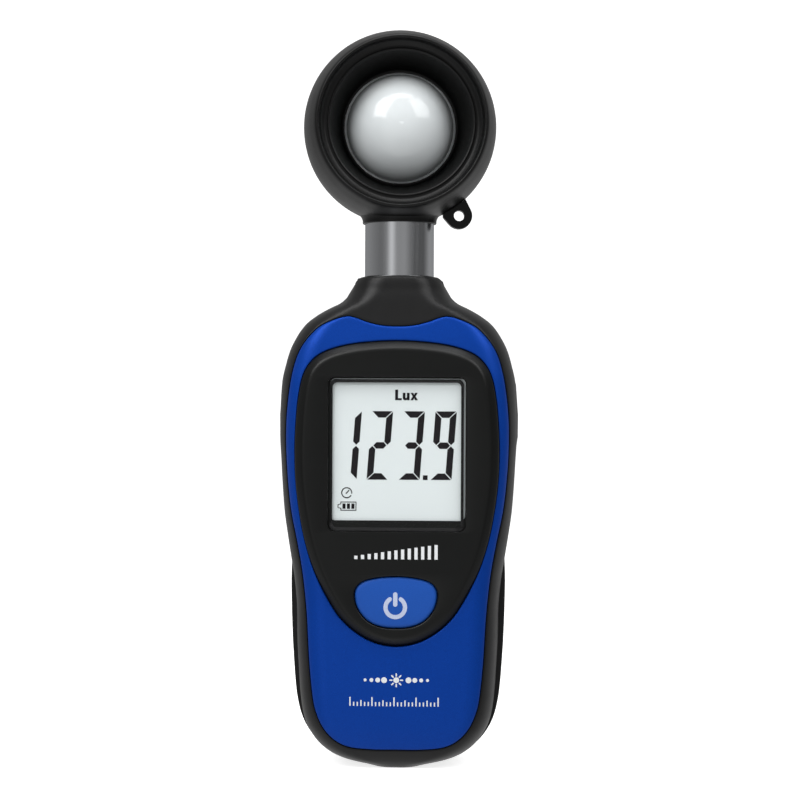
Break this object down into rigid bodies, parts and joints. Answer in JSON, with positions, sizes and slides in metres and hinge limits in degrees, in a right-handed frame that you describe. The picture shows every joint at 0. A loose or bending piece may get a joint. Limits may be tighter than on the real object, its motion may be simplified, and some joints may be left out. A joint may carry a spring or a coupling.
{
  "type": "handheld light meter",
  "caption": "Handheld light meter: domed light sensor in a turning hooded head on a steel stem, above a black and blue body with a display, power key and battery door.",
  "frame": {"origin": "middle of the flat foot at the bottom of the body, under the axis of the stem and on the parting plane of the two housings", "axes": "+Z along the stem axis from the foot to the head, +Y out of the back, so the display faces -Y, +X to the right of someone who reads the display"},
  "size_m": [0.0522, 0.0277, 0.1596],
  "materials": {
    "black_shell": "satin moulded",
    "black_hood": "fine satin moulded",
    "blue_plate": "satin metallic paint",
    "blue_key": "satin",
    "black_bezel": "satin gloss",
    "window": "clear",
    "tape": "thin adhesive tape",
    "lcd": "reflective liquid crystal cell",
    "white_plastic": "moulded",
    "light_guide": "clear acrylic",
    "silicone": "conductive elastomer",
    "circuit_board": "solder mask",
    "chip": "moulded epoxy",
    "components": "mixed small parts",
    "trimmer": "moulded",
    "bright_metal": "plated",
    "stem_steel": "bright drawn tube",
    "dark_steel": "blackened",
    "cell_jacket": "printed foil sleeve",
    "red_wire": "insulated wire",
    "grey_wire": "sheathed lead",
    "opal_dome": "opal, satin gloss",
    "black_holder": "moulded",
    "green_filter": "tinted filter",
    "silicon": "packaged photodiode",
    "foam": "soft foam pad"
  },
  "bodies": {
    "body": {"front_housing": "black_shell", "rear_housing": "black_shell", "faceplate": "blue_plate", "display_bezel": "black_bezel", "display_window": "window", "window_tape": "tape", "lcd_glass": "lcd", "lcd_frame": "white_plastic", "lcd_backlight": "light_guide", "zebra_strips": "silicone", "main_board": "circuit_board", "measuring_chip": "chip", "board_components": "components", "quartz_crystal": "bright_metal", "calibration_trimmer": "trimmer", "switch_body": "chip", "board_screws": "bright_metal", "lead_socket": "white_plastic", "lead_plug": "white_plastic", "battery_cells": "cell_jacket", "battery_springs": "bright_metal", "battery_contacts": "bright_metal", "battery_leads": "red_wire", "housing_screws": "dark_steel", "stem_bush": "white_plastic", "stem_washer": "bright_metal", "sensor_lead_lower": "grey_wire"},
    "head": {"hood_ring": "black_hood", "strap_eyelet": "black_hood", "head_rear_shell": "black_hood", "light_dome": "opal_dome", "dome_clamp_ring": "white_plastic", "filter_holder": "black_holder", "optical_filter": "green_filter", "photodiode": "silicon", "sensor_board": "circuit_board", "head_screws": "dark_steel", "stem_tube": "stem_steel", "stem_collar": "dark_steel", "sensor_lead_upper": "grey_wire"},
    "key": {"power_key": "blue_key", "switch_plunger": "white_plastic"},
    "door": {"battery_door": "black_shell", "door_foam": "foam"}
  },
  "joints": [
    {"name": "head_swivel", "type": "hinge", "parent": "body", "child": "head", "pos_m": [0, 0, 0.1], "axis": [0, 0, 1], "range_deg": [-139, 131]},
    {"name": "power_key_press", "type": "slide", "parent": "body", "child": "key", "axis": [0, 1, 0], "range_m": [0, 0.0006], "stiffness_N_per_m": 900, "springref_m": -0.0005},
    {"name": "battery_door_lift", "type": "slide", "parent": "body", "child": "door", "axis": [0, 1, 0], "range_m": [0, 0.03]}
  ]
}
